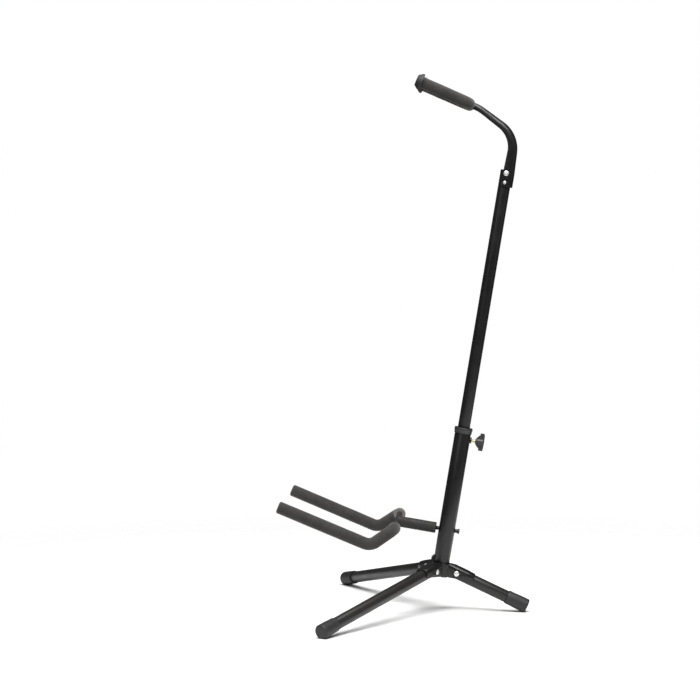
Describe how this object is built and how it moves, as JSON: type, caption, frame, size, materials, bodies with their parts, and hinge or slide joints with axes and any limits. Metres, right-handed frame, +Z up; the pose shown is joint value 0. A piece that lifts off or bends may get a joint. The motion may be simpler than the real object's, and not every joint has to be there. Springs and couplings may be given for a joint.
{
  "type": "guitar stand",
  "caption": "Tubular floor stand for a guitar: leaning telescopic mast on folding tripod legs, padded swivelling body cradle and folding padded neck yoke.",
  "frame": {"origin": "on the floor, under the middle of the bounding box", "axes": "+Z up, -Y the way the cradle points, +X the side that the nodes named right are on"},
  "size_m": [0.5516, 0.3883, 0.8387],
  "materials": {
    "black_paint": "satin",
    "leg_paint": "satin",
    "bright_steel": "satin",
    "black_plastic": "satin",
    "black_rubber": "matte",
    "black_foam": "matte"
  },
  "bodies": {
    "base": {"hub": "black_paint", "hub_screw": "black_paint", "lower_tube": "black_paint", "collar_bush": "black_plastic", "screw_boss": "black_paint", "leg_rivet_left": "bright_steel", "leg_rivet_right": "bright_steel", "leg_rivet_rear": "bright_steel"},
    "leg_right": {"leg_right": "leg_paint", "foot_right": "black_rubber"},
    "leg_left": {"leg_left": "leg_paint", "foot_left": "black_rubber"},
    "leg_rear": {"leg_rear": "leg_paint", "foot_rear": "black_rubber"},
    "mast_slide": {"mast_glide": "black_plastic"},
    "mast_top": {"upper_tube": "black_paint", "neck_rivet": "bright_steel", "neck_stop_pin": "bright_steel"},
    "neck": {"neck_arm": "black_paint", "neck_yoke": "black_paint", "neck_foam_left": "black_foam", "neck_foam_right": "black_foam", "neck_cap_left": "black_rubber", "neck_cap_right": "black_rubber"},
    "clamp_pad": {"clamp_pad": "black_plastic"},
    "clamp": {"clamp_screw": "bright_steel", "clamp_knob": "black_plastic"},
    "cradle_bolt": {"cradle_bolt": "black_paint"},
    "cradle": {"cradle_rod": "black_paint", "cradle_stem": "black_paint", "cradle_foam_left": "black_foam", "cradle_foam_right": "black_foam"}
  },
  "joints": [
    {"name": "leg_right_fold", "type": "hinge", "parent": "base", "child": "leg_right", "pos_m": [0.02291, 0.04053, 0.06682], "axis": [0.5, 0.8546, -0.14], "range_deg": [0, 74]},
    {"name": "leg_left_fold", "type": "hinge", "parent": "base", "child": "leg_left", "pos_m": [-0.02291, 0.04053, 0.06682], "axis": [0.5, -0.8546, 0.14], "range_deg": [0, 74]},
    {"name": "leg_rear_fold", "type": "hinge", "parent": "base", "child": "leg_rear", "pos_m": [0, 0.07969, 0.06041], "axis": [-1, 0, 0], "range_deg": [0, 74]},
    {"name": "mast_height", "type": "slide", "parent": "base", "child": "mast_slide", "axis": [0, 0.1616, 0.9869], "range_m": [-0.09, 0.02]},
    {"name": "mast_turn", "type": "hinge", "parent": "mast_slide", "child": "mast_top", "pos_m": [0, 0.08712, 0.26947], "axis": [0, 0.1616, 0.9869], "continuous": true},
    {"name": "neck_fold", "type": "hinge", "parent": "mast_top", "child": "neck", "pos_m": [0, 0.1554, 0.68642], "axis": [1, 0, 0], "range_deg": [0, 130]},
    {"name": "clamp_travel", "type": "slide", "parent": "base", "child": "clamp_pad", "axis": [0, 0.9869, -0.1616], "range_m": [0, 0.0016]},
    {"name": "clamp_turn", "type": "hinge", "parent": "clamp_pad", "child": "clamp", "pos_m": [0, 0.10718, 0.26821], "axis": [0, 0.9869, -0.1616], "range_deg": [0, 720]},
    {"name": "cradle_play", "type": "slide", "parent": "base", "child": "cradle_bolt", "axis": [0, 0.9869, -0.1616], "range_m": [-0.0042, 0.0042]},
    {"name": "cradle_swivel", "type": "hinge", "parent": "cradle_bolt", "child": "cradle", "pos_m": [0, 0.06409, 0.12884], "axis": [0, 0.9869, -0.1616], "range_deg": [-90, 90]}
  ],
  "couplings": [
    {"joint": "clamp_travel", "follows": "clamp_turn", "m_per_rad": 0.00012732}
  ]
}
